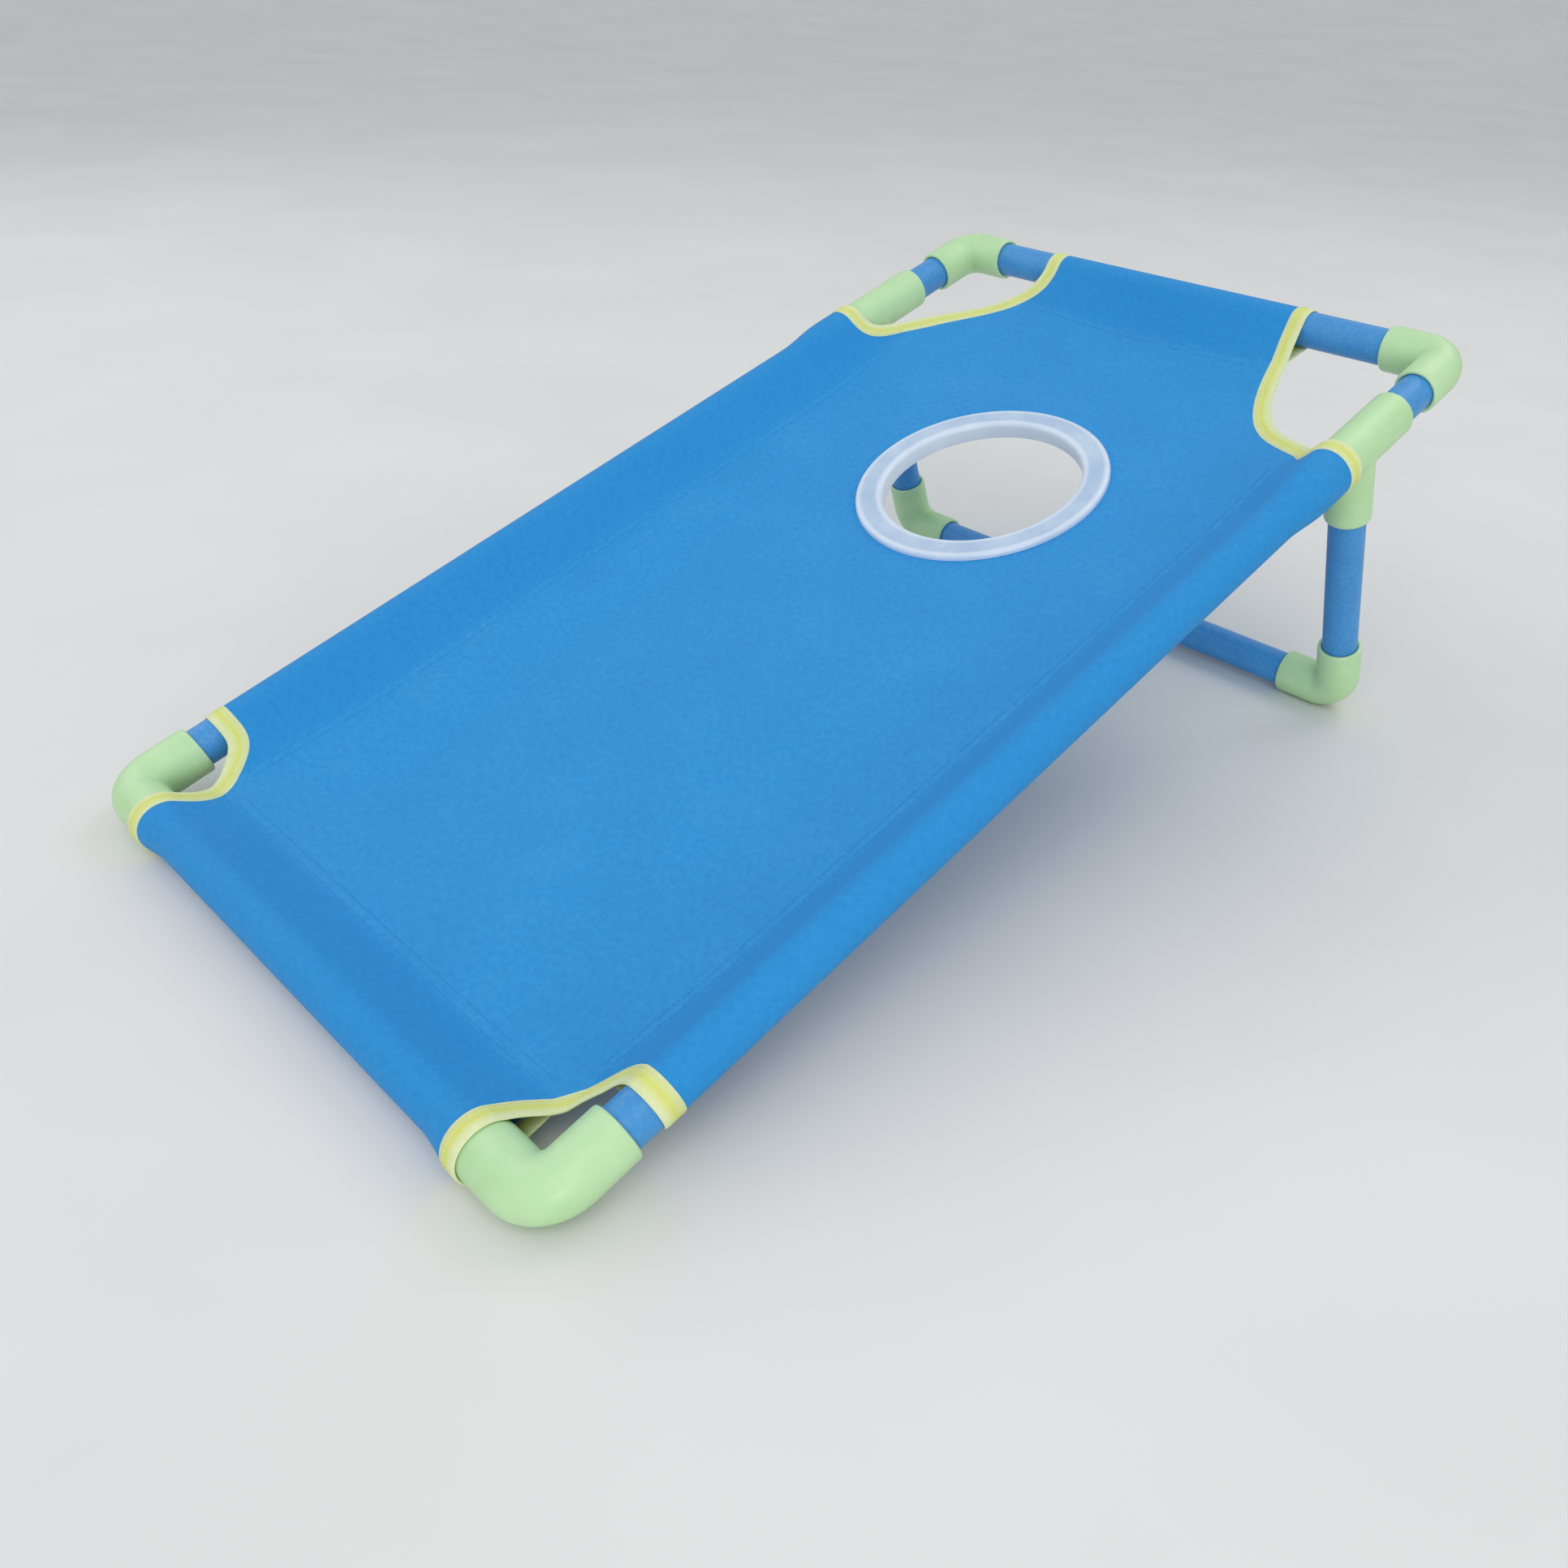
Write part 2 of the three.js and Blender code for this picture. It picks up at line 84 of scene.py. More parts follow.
CLOTH = 0.7 * MM
SEAM_IN = 38 * MM
SEAM_DROP = 17.25 * MM
HEM_THICK = 1.3 * MM
FOLD_R = 10 * MM
FOLD_PULLED = 14 * MM
FOLD_FADE = 90 * MM
SAG = 9.5 * MM
FLAT_U = 110 * MM
FLAT_V = (150 * MM, 682 * MM)
TIGHT_R = 14.1 * MM
HUB_R = 17.7 * MM
SLOPE = 40 * MM
ARC = 58 * MM
UNDER = 36 * MM
WRAP = SLOPE + ARC + UNDER
TAPE = 12.5 * MM
TAPE_RISE = 0.95 * MM
HOLE_R = 76 * MM
RING_R = 97 * MM

# How far from the corners the cut-outs cross the rails, for the folds of the seams.
FRONT_CUT_V = 63 * MM
FRONT_CUT_U = 43 * MM
REAR_CUT_V = 152 * MM
REAR_CUT_U = 108 * MM

# Corner cut-outs: where the edge crosses each rail and the two pull points of the curve between,
# as distances inboard from the rail centrelines.
CUTS = {
    "front_left": ((20, 63), (26, 53), (36, 41), (43, 20)),
    "front_right": ((20, 63), (26, 53), (36, 41), (43, 20)),
    "rear_left": ((20, 154), (48, 76), (30, 104), (103, 20)),
    "rear_right": ((20, 150), (38, 106), (98, 140), (114, 20)),
}
CORNERS = {
    "front_left": (-1, -1),
    "front_right": (1, -1),
    "rear_left": (-1, 1),
    "rear_right": (1, 1),
}


def place(u, v, w):
    return FRONT + RIGHT * u + ALONG * v + OUT * w


def place_all(points):
    """Board coordinates (n, 3) to the row frame."""
    basis = np.array([RIGHT, ALONG, OUT])
    return points @ basis + np.array(FRONT)


# ---- materials ----
class Nodes:
    """A small helper that wires shader nodes by name."""

    def __init__(self, name):
        self.material = bpy.data.materials.new(name)
        self.material.use_nodes = True
        self.tree = self.material.node_tree
        self.shader = self.tree.nodes["Principled BSDF"]

    def add(self, kind, **values):
        node = self.tree.nodes.new(kind)
        for key, value in values.items():
            if hasattr(node, key):
                setattr(node, key, value)
            else:
                node.inputs[key.replace("_", " ")].default_value = value
        return node

    def link(self, source, target):
        self.tree.links.new(source, target)

    def math(self, operation, a, b=None):
        node = self.add("ShaderNodeMath", operation=operation)
        for i, value in enumerate((a, b)):
            if value is None:
                continue
            if isinstance(value, (int, float)):
                node.inputs[i].default_value = value
            else:
                self.link(value, node.inputs[i])
        return node.outputs[0]

    def noise(self, vector, scale, detail=3.0, roughness=0.55):
        node = self.add("ShaderNodeTexNoise")
        node.inputs["Scale"].default_value = scale
        node.inputs["Detail"].default_value = detail
        node.inputs["Roughness"].default_value = roughness
        self.link(vector, node.inputs["Vector"])
        return node.outputs[0]

    def ramp(self, value, stops):
        node = self.add("ShaderNodeValToRGB")
        ramp = node.color_ramp
        while len(ramp.elements) < len(stops):
            ramp.elements.new(0.5)
        for element, (position, colour) in zip(ramp.elements, stops):
            element.position = position
            element.color = colour
        self.link(value, node.inputs[0])
        return node.outputs[0]

    def mix(self, factor, a, b):
        node = self.add("ShaderNodeMix", data_type="RGBA")
        for socket, value in ((0, factor), (6, a), (7, b)):
            if isinstance(value, (int, float, tuple)):
                node.inputs[socket].default_value = value
            else:
                self.link(value, node.inputs[socket])
        return node.outputs[2]

    def bump(self, height, strength, distance, below=None):
        node = self.add("ShaderNodeBump")
        node.inputs["Strength"].default_value = strength
        node.inputs["Distance"].default_value = distance
        self.link(height, node.inputs["Height"])
        if below is not None:
            self.link(below, node.inputs["Normal"])
        return node.outputs[0]


def rgb(hex_code):
    """An sRGB hex colour as the linear colour that shaders use."""
    out = []
    for i in (0, 2, 4):
        c = int(hex_code[i : i + 2], 16) / 255
        out.append(c / 12.92 if c <= 0.04045 else ((c + 0.055) / 1.055) ** 2.4)
    return (*out, 1.0)


def plastic(name, base, dark, pale, roughness, grain, gloss):
    """Moulded plastic: cloudy colour, painted highlights on pointy edges and on banded rims, uneven
    gloss, fine scuffs.
    """
    n = Nodes(name)
    place_at = n.add("ShaderNodeTexCoord").outputs["Object"]
    cloud = n.noise(place_at, 38.0, 4.0)
    speck = n.noise(place_at, 420.0, 3.0)
    colour = n.ramp(cloud, [(0.35, rgb(dark)), (0.65, rgb(base))])
    # Painted highlight: pointy edges, broken up by specks, are mixed towards the pale colour to
    # stand in for glints along ridges and lips.
    edge = n.ramp(
        n.add("ShaderNodeNewGeometry").outputs["Pointiness"],
        [(0.52, (0, 0, 0, 1)), (0.6, (1, 1, 1, 1))],
    )
    painted_edge_highlight = n.math("MULTIPLY", edge, n.math("MULTIPLY", speck, 0.8))
    colour = n.mix(painted_edge_highlight, colour, rgb(pale))
    # Painted highlight: the band attribute mixes in the pale colour, and on the ring this lightens
    # the rounded rims.
    rim = n.add("ShaderNodeAttribute", attribute_name="band").outputs["Fac"]
    colour = n.mix(rim, colour, rgb(pale))
    n.link(colour, n.shader.inputs["Base Color"])
    rough = n.math("ADD", n.math("MULTIPLY", n.noise(place_at, 90.0, 5.0), 0.22), roughness - 0.1)
    n.link(rough, n.shader.inputs["Roughness"])
    broad = n.bump(cloud, 0.12, 0.0012)
    n.link(n.bump(n.noise(place_at, grain, 2.0), 0.1, 0.0002, broad), n.shader.inputs["Normal"])
    n.shader.inputs["Specular IOR Level"].default_value = gloss
    n.shader.inputs["Coat Weight"].default_value = gloss * 0.4
    n.shader.inputs["Coat Roughness"].default_value = 0.25
    n.shader.inputs["Subsurface Weight"].default_value = 0.05
    n.shader.inputs["Subsurface Radius"].default_value = (0.003, 0.003, 0.003)
    return n.material


def weave(n, uv, pitch):
    """Height of a plain weave of the given thread pitch over the cloth's flat coordinates."""
    split = n.add("ShaderNodeSeparateXYZ")
    n.link(uv, split.inputs[0])
    turn = 2 * math.pi / pitch
    across = n.math("SINE", n.math("MULTIPLY", split.outputs[0], turn))
    along = n.math("SINE", n.math("MULTIPLY", split.outputs[1], turn))
    return n.math("MULTIPLY", across, along)


def cloth(name, base, dark, pale, pitch, rim=None, deep=None, patch=0.2):
    """Woven polyester: threads, slubs, soft mottling, a little dust, and sheen."""
    n = Nodes(name)
    uv = n.add("ShaderNodeTexCoord").outputs["UV"]
    mottle = n.noise(uv, 14.0, 5.0)
    fine = n.noise(uv, 900.0, 2.0, 0.7)
    colour = n.ramp(mottle, [(0.3, rgb(dark)), (0.55, rgb(base)), (0.85, rgb(pale))])
    # The band attribute mixes in the rim colour. On the cover this is a painted shade over the
    # sleeves, and on the tapes it gives their pale edges.
    band = n.add("ShaderNodeAttribute", attribute_name="band").outputs["Fac"]
    colour = n.mix(band, colour, rgb(rim or dark))
    threads = weave(n, uv, pitch)
    shade = n.math("ADD", n.math("MULTIPLY", threads, 0.035), n.math("MULTIPLY", fine, 0.14))
    colour = n.mix(shade, colour, rgb(dark))
    blotch = n.ramp(n.noise(uv, 230.0, 4.0, 0.65), [(0.35, (0, 0, 0, 1)), (0.68, (1, 1, 1, 1))])
    colour = n.mix(n.math("MULTIPLY", blotch, patch), colour, rgb(deep or dark))
    dust = n.ramp(n.noise(uv, 60.0, 6.0, 0.7), [(0.68, (0, 0, 0, 1)), (0.82, (1, 1, 1, 1))])
    colour = n.mix(n.math("MULTIPLY", dust, 0.16), colour, rgb(pale))
    n.link(colour, n.shader.inputs["Base Color"])
    n.link(
        n.math("ADD", n.math("MULTIPLY", n.noise(uv, 30.0), 0.18), 0.56),
        n.shader.inputs["Roughness"],
    )
    soft = n.bump(n.noise(uv, 22.0, 4.0), 0.25, 0.0012)
    n.link(n.bump(threads, 0.35, 0.00025, soft), n.shader.inputs["Normal"])
    n.shader.inputs["Sheen Weight"].default_value = 0.03
    n.shader.inputs["Sheen Roughness"].default_value = 0.4
    n.shader.inputs["Specular IOR Level"].default_value = 0.2
    return n.material


# The fourth colour of each plastic is its painted highlight colour, for pointy edges and the ring's
# rims.
TUBE = plastic("tube_blue", "1a86cd", "157ec4", "7db6e2", 0.42, 700.0, 0.3)
FITTING = plastic("fitting_green", "bce0ac", "b3daa2", "dff0d4", 0.42, 500.0, 0.5)
RING = plastic("ring_plastic", "bbd0e4", "a9c0dc", "f0f5fa", 0.36, 900.0, 0.6)
# The cover's rim colour, 2790d4, is the painted shade of the sleeves past the seams.
FABRIC = cloth("cover_fabric", "3398da", "3094d5", "3e9dda", 0.0011, "2790d4", "1a79c2", 0.42)
BINDING = cloth("binding_tape", "dde27a", "d5db6c", "e8eca0", 0.0009, "e2ecc8", "c6c65c", 0.22)
THREAD = cloth("cover_thread", "3191d4", "2a88cc", "4ba3de", 0.0004)
TAPE_THREAD = cloth("tape_thread", "e6edb4", "d2da92", "f4f8d8", 0.0004)


# ---- mesh helpers ----
def make(name, points, faces, material, body, stands_for=(), smooth=40):
    mesh = bpy.data.meshes.new(name)
    mesh.from_pydata([tuple(p) for p in points], [], [tuple(f) for f in faces])
    mesh.validate()
    mesh.update()
    for polygon in mesh.polygons:
        polygon.use_smooth = True
    mesh.set_sharp_from_angle(angle=math.radians(smooth))
    mesh.materials.append(material)
    obj = bpy.data.objects.new(name, mesh)
    bpy.context.scene.collection.objects.link(obj)
    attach(obj, body)
    if stands_for:
        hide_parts(*stands_for)
    return obj


def ring_points(centre, a, b, radius, sides):
    turns = [2 * math.pi * i / sides for i in range(sides)]
    return [centre + a * (radius * math.cos(t)) + b * (radius * math.sin(t)) for t in turns]


def ring_chain(stations, sides):
    """A closed body made of rings, each joined to the next and the last to the first."""
    points, faces = [], []
    for centre, a, b, radius in stations:
        points += ring_points(centre, a, b, radius, sides)
    count = len(stations)
    for k in range(count):
        low, high = k * sides, ((k + 1) % count) * sides
        for i in range(sides):
            j = (i + 1) % sides
            faces.append((low + i, low + j, high + j, high + i))
    return points, faces


def lathe(profile, origin, axis, sides):
    """Turns a closed outline of (radius, distance along the axis) round the axis."""
    a = axis.orthogonal().normalized()
    b = axis.cross(a)
    return ring_chain([(origin + axis * z, a, b, r) for r, z in profile], sides)


PIPE_SIDES = 72


def pipe_profile(low, high):
    ease = 0.6 * MM
    return [
        (PIPE_R - ease, low),
        (PIPE_R, low + ease),
        (PIPE_R, high - ease),
        (PIPE_R - ease, high),
        (BORE_R, high),
        (BORE_R, low),
    ]


def tube(name, origin, axis, low, high, body):
    points, faces = lathe(pipe_profile(low, high), origin, axis, PIPE_SIDES)
    return make(name + "_pipe", points, faces, TUBE, body, [name])


LIP = [(0.0, 1.5 * MM), (0.35 * MM, 0.7 * MM), (1.1 * MM, 0.18 * MM), (2.2 * MM, 0.0)]


def elbow(name, corner, d1, d2, body):
    """A right-angle fitting: eased lips, straight sockets, a round outer corner."""
    side = d2.cross(d1).normalized()
    into = -d1
    sides = 64

    def frame_at(direction):
        return side, direction.cross(side)

    def arms(distance, first):
        arm, direction = (d1, into) if first else (d2, d2)
        return corner + arm * distance, *frame_at(direction)

    outer = [(*arms(ELBOW_END - back, True), FIT_R - cut) for back, cut in LIP]
    outer.append((*arms(ELBOW_END - SOCKET, True), FIT_R))
    steps = 16
    bend = []
    for i in range(steps + 1):
        turn = math.pi / 2 * i / steps
        c = corner + d1 * (ELBOW_BEND * (1 - math.sin(turn)))
        c = c + d2 * (ELBOW_BEND * (1 - math.cos(turn)))
        tangent = into * math.cos(turn) + d2 * math.sin(turn)
        bend.append((c, *frame_at(tangent)))
    outer += [(*b, FIT_R) for b in bend]
    outer.append((*arms(ELBOW_END - SOCKET, False), FIT_R))
    outer += [(*arms(ELBOW_END - back, False), FIT_R - cut) for back, cut in reversed(LIP)]
    inner = [(*arms(ELBOW_END - 0.2 * MM, False), SOCKET_R + 0.5 * MM)]
    inner.append((*arms(ELBOW_END - 1.0 * MM, False), SOCKET_R))
    inner.append((*arms(ELBOW_END - SOCKET, False), SOCKET_R))
    inner.append((*arms(ELBOW_END - SOCKET, False), BORE_R))
    inner += [(*b, BORE_R) for b in reversed(bend)]
    inner.append((*arms(ELBOW_END - SOCKET, True), BORE_R))
    inner.append((*arms(ELBOW_END - SOCKET, True), SOCKET_R))
    inner.append((*arms(ELBOW_END - 1.0 * MM, True), SOCKET_R))
    inner.append((*arms(ELBOW_END - 0.2 * MM, True), SOCKET_R + 0.5 * MM))
    points, faces = ring_chain(outer + inner, sides)
    return make(name + "_fitting", points, faces, FITTING, body, [name], 50)


def solid_rod(name, origin, axis, low, high, radius, lip=0.0):
    profile = [(0.00001, low), (radius - lip, low), (radius, low + lip)]
    profile += [(radius, high - lip), (radius - lip, high), (0.00001, high)]
    if not lip:
        profile = [(0.00001, low), (radius, low), (radius, high), (0.00001, high)]
    points, faces = lathe(profile, origin, axis, 64)
    mesh = bpy.data.meshes.new(name)
    mesh.from_pydata([tuple(p) for p in points], [], faces)
    mesh.update()
    obj = bpy.data.objects.new(name, mesh)
    bpy.context.scene.collection.objects.link(obj)
    weld = obj.modifiers.new("weld", "WELD")
    weld.merge_threshold = 0.00005
    bake(obj)
    return obj


def bake(obj):
    """Replaces an object's mesh by the mesh its modifiers give."""
    graph = bpy.context.evaluated_depsgraph_get()
    graph.update()
    mesh = bpy.data.meshes.new_from_object(obj.evaluated_get(graph))
    obj.modifiers.clear()
    obj.data = mesh


def combine(target, tool, operation):
    step = target.modifiers.new("combine", "BOOLEAN")
    step.operation = operation
    step.solver = "EXACT"
    step.object = tool
    bake(target)
    bpy.data.objects.remove(tool)


def tee(name, centre, body):
    """Straight run along the side rail with a branch down to the leg, softly blended."""
    obj = solid_rod(name + "_fitting", centre, ALONG, -TEE_END, TEE_END, FIT_R, 1.0 * MM)
    combine(obj, solid_rod("branch", centre, -OUT, 0.0, TEE_END, FIT_R, 1.0 * MM), "UNION")
    melt = obj.modifiers.new("melt", "REMESH")
    melt.mode = "VOXEL"
    melt.voxel_size = 0.9 * MM
    ease = obj.modifiers.new("ease", "SMOOTH")
    ease.factor = 0.5
    ease.iterations = 8
    bake(obj)
    reach = TEE_END + 2 * MM
    inside = TEE_END - SOCKET
    for axis, low, high, radius in (
        (ALONG, -reach, reach, BORE_R),
        (ALONG, inside, reach, SOCKET_R),
        (-ALONG, inside, reach, SOCKET_R),
        (-OUT, 0.0, reach, BORE_R),
        (-OUT, inside, reach, SOCKET_R),
    ):
        combine(obj, solid_rod("cut", centre, axis, low, high, radius), "DIFFERENCE")
    for polygon in obj.data.polygons:
        polygon.use_smooth = True
    obj.data.set_sharp_from_angle(angle=math.radians(45))
    obj.data.materials.clear()
    obj.data.materials.append(FITTING)
    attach(obj, body)
    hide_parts(name)
    return obj


# ---- frame and leg ----
inner_span = HALF_W - STOP
tube("front_rail", place(0, 0, 0), RIGHT, -inner_span, inner_span, "board")
tube("rear_rail", place(0, LENGTH, 0), RIGHT, -inner_span, inner_span, "board")
tube("leg_cross_tube", place(0, LEG_V, LEG_W), RIGHT, -inner_span, inner_span, "leg")
for side, sign in (("left", -1), ("right", 1)):
    u = sign * HALF_W
    inward = RIGHT * -sign
    tube(f"side_rail_{side}", place(u, 0, 0), ALONG, STOP, LEG_V - TEE_STOP, "board")
    tube(f"rear_stub_{side}", place(u, 0, 0), ALONG, LEG_V + TEE_STOP, LENGTH - STOP, "board")
    tube(f"leg_tube_{side}", place(u, LEG_V, 0), OUT, LEG_W + STOP, -TEE_STOP, "leg")
    elbow(f"front_elbow_{side}", place(u, 0, 0), inward, ALONG, "board")
    elbow(f"rear_elbow_{side}", place(u, LENGTH, 0), inward, -ALONG, "board")
    elbow(f"leg_elbow_{side}", place(u, LEG_V, LEG_W), inward, OUT, "leg")
    tee(f"leg_tee_{side}", place(u, LEG_V, 0), "board")


# ---- cover: shape of the cloth ----
def ease(t):
    return 0.5 - 0.5 * np.cos(np.pi * np.clip(t, 0.0, 1.0))


def swell(distance, hub_end, length):
    """How far the sleeve is spread by a fitting: 1 on it, 0 clear of it."""
    return ease(1 - (distance - hub_end) / length)


def side_radius(v):
    at_tee = swell(np.abs(v - LEG_V), TEE_END, 45 * MM)
    at_elbow = swell(v, ELBOW_END - 4 * MM, 14 * MM)
    return TIGHT_R + (HUB_R - TIGHT_R) * np.maximum(at_tee, at_elbow)


def end_radius(u, front):
    hub = swell(HALF_W - np.abs(u), ELBOW_END, 35 * MM)
    return TIGHT_R + (HUB_R - TIGHT_R) * hub * front


def fold(distance, cut):
    """Rounding of a seam's fold: tight along the seam, wide where a cut-out pulls it up."""
    return FOLD_R + FOLD_PULLED * ease(1 - (distance - cut) / FOLD_FADE)


def side_fold(v):
    return np.maximum(fold(v, FRONT_CUT_V), fold(LENGTH - v, REAR_CUT_V))


def end_fold(u, front):
    return fold(HALF_W - np.abs(u), np.where(front > 0, FRONT_CUT_U, REAR_CUT_U))


def wrap(p, r, round_off):
    """Section of a sleeve. p runs along the cloth from the seam outwards, negative on the deck.
    Gives the distance inboard of the rail and the height."""
    reach = math.hypot(SEAM_IN, SEAM_DROP)
    start = -math.atan2(SEAM_DROP, SEAM_IN) + np.arccos(r / reach)
    touch_d, touch_h = r * np.cos(start), r * np.sin(start)
    soft = (np.sqrt(p * p + round_off**2) + p) / 2
    soft_end = (np.sqrt(SLOPE * SLOPE + round_off**2) + SLOPE) / 2
    rise = (touch_h + SEAM_DROP) * round_off / 2 / soft_end
    d = SEAM_IN + (touch_d - SEAM_IN) * np.clip(p, None, SLOPE) / SLOPE
    d = np.where(p < 0, SEAM_IN - p, d)
    h = -SEAM_DROP + (touch_h + SEAM_DROP) * soft / soft_end
    turn = start + (1.5 * math.pi - start) * np.clip((p - SLOPE) / ARC, 0, 1)
    on_arc = p > SLOPE
    d = np.where(on_arc, r * np.cos(turn), d)
    h = np.where(on_arc, r * np.sin(turn), h)
    under = np.clip((p - SLOPE - ARC) / UNDER, 0, 1)
    on_under = p > SLOPE + ARC
    d = np.where(on_under, (SEAM_IN - 1 * MM) * under, d)
    h = np.where(on_under, -r + (r - SEAM_DROP - HEM_THICK + rise) * under, h)
    return d, h


def deck_drop(u, v):
    """How far the deck hangs below its seams."""
    side = ease((HALF_W - SEAM_IN - np.abs(u)) / (HALF_W - SEAM_IN - FLAT_U))
    front = ease((v - SEAM_IN) / (FLAT_V[0] - SEAM_IN))
    rear = ease((LENGTH - SEAM_IN - v) / (LENGTH - SEAM_IN - FLAT_V[1]))
    return SAG * side * np.minimum(front, rear)


def ripple(u, v):
    """Shallow unevenness of the stretched deck, still under the ring."""
    away = ease((np.hypot(u, v - RING_V) - RING_R - 4 * MM) / (60 * MM))
    inside = ease((HALF_W - SEAM_IN - np.abs(u)) / (50 * MM))
    inside = inside * ease((np.minimum(v, LENGTH - v) - SEAM_IN) / (50 * MM))
    wave = np.sin(u * 31 + 1.3 * np.sin(v * 9.0)) + 0.7 * np.sin(u * 17 - v * 21 + 1.0)
    wave = wave + 0.5 * np.sin(v * 37 + u * 13)
    return 0.5 * MM * wave * away * inside


S_HALF = HALF_W - SEAM_IN + WRAP
T_HALF = LENGTH / 2 - SEAM_IN + WRAP


def cloth_at(s, t, lift=0.0):
    """Board coordinates of the cloth at flat position s, t, raised by lift along its normal."""

    def shape(s, t):
        ps = np.abs(s) - (HALF_W - SEAM_IN)
        pt = np.abs(t) - (LENGTH / 2 - SEAM_IN)
        flat_v = LENGTH / 2 + np.clip(t, -LENGTH / 2, LENGTH / 2)
        flat_u = np.clip(s, -HALF_W, HALF_W)
        front = (t < 0) * 1.0
        ds, hs = wrap(ps, side_radius(flat_v), side_fold(flat_v))
        de, he = wrap(pt, end_radius(flat_u, front), end_fold(flat_u, front))
        u = np.sign(s) * (HALF_W - ds)
        v = LENGTH / 2 + np.sign(t) * (LENGTH / 2 - de)
        up_s, up_e = hs + SEAM_DROP, he + SEAM_DROP
        high = (np.maximum(up_s, 0) ** 4 + np.maximum(up_e, 0) ** 4) ** 0.25
        w = -SEAM_DROP + high + np.minimum(up_s, 0) + np.minimum(up_e, 0)
        on_deck = (ps < 0) & (pt < 0)
        w = w - np.where(on_deck, deck_drop(u, v) - ripple(u, v), 0)
        return np.stack([u, v, w], -1)

    here = shape(s, t)
    step = 0.4 * MM
    across = shape(s + step, t) - shape(s - step, t)
    along = shape(s, t + step) - shape(s, t - step)
    normal = np.cross(across, along)
    normal /= np.maximum(np.linalg.norm(normal, axis=-1, keepdims=True), 1e-12)
    lift = np.asarray(lift, float)
    return here + normal * lift[..., None], normal


def flat_of(d):
    """Flat position p of a point a distance d inboard of a rail, on the upper layer."""
    reach = math.hypot(SEAM_IN, SEAM_DROP)
    start = -math.atan2(SEAM_DROP, SEAM_IN) + math.acos(TIGHT_R / reach)
    touch = TIGHT_R * math.cos(start)
    return np.where(d > SEAM_IN, SEAM_IN - d, (SEAM_IN - d) * SLOPE / (SEAM_IN - touch))


CURVE_STEPS = 41
ARM_STEPS = 60
EDGE_POINTS = 260
SMOOTHINGS = 70


def cut_edge(name, spare):
    """The cut-out's edge in corner coordinates (ps, pt), both growing outwards."""
    p = [np.array(point) * MM for point in CUTS[name]]
    k = np.linspace(0, 1, CURVE_STEPS)[:, None]
    weights = ((1 - k) ** 3, 3 * (1 - k) ** 2 * k, 3 * (1 - k) * k**2, k**3)
    curve = sum(weight * point for weight, point in zip(weights, p))
    flat = np.stack([flat_of(curve[:, 0]), flat_of(curve[:, 1])], -1)
    far = WRAP + spare
    first = np.linspace(far, flat[0, 0], ARM_STEPS)[:-1]
    last = np.linspace(flat[-1, 1], far, ARM_STEPS)[1:]
    head = np.stack([first, np.full_like(first, flat[0, 1])], -1)
    tail = np.stack([np.full_like(last, flat[-1, 0]), last], -1)
    edge = np.concatenate([head, flat, tail])
    length = np.concatenate([[0], np.cumsum(np.linalg.norm(np.diff(edge, axis=0), axis=1))])
    even = np.linspace(0, length[-1], EDGE_POINTS)
    edge = np.stack([np.interp(even, length, edge[:, i]) for i in (0, 1)], -1)
    for _ in range(SMOOTHINGS):
        edge[1:-1] = (edge[:-2] + 2 * edge[1:-1] + edge[2:]) / 4
    return edge


def edge_normals(edge):
    """Unit directions pointing from the cut-out into the cloth."""
    run = np.gradient(edge, axis=0)
    run /= np.linalg.norm(run, axis=1, keepdims=True)
    return np.stack([run[:, 1], -run[:, 0]], -1) * -1


def inside_of(name, s, t):
    """Signed distance from one corner's cut edge, positive on the cloth."""
    sx, sy = CORNERS[name]
    q = np.stack([s * sx - (HALF_W - SEAM_IN), t * sy - (LENGTH / 2 - SEAM_IN)], -1)
    edge = cut_edge(name, 20 * MM)
    facing = edge_normals(edge)
    out = np.full(len(q), 1.0)
    near = (q[:, 0] > -140 * MM) & (q[:, 1] > -170 * MM)
    index = np.nonzero(near)[0]
    for block in np.array_split(index, max(1, len(index) // 4000)):
        gap = q[block, None, :] - edge[None]
        distance = np.linalg.norm(gap, axis=2)
        best = distance.argmin(1)
        rows = np.arange(len(block))
        side = (gap[rows, best] * facing[best]).sum(1)
        out[block] = np.where(side >= 0, distance[rows, best], -distance[rows, best])
    return out


GRID = 2.4 * MM


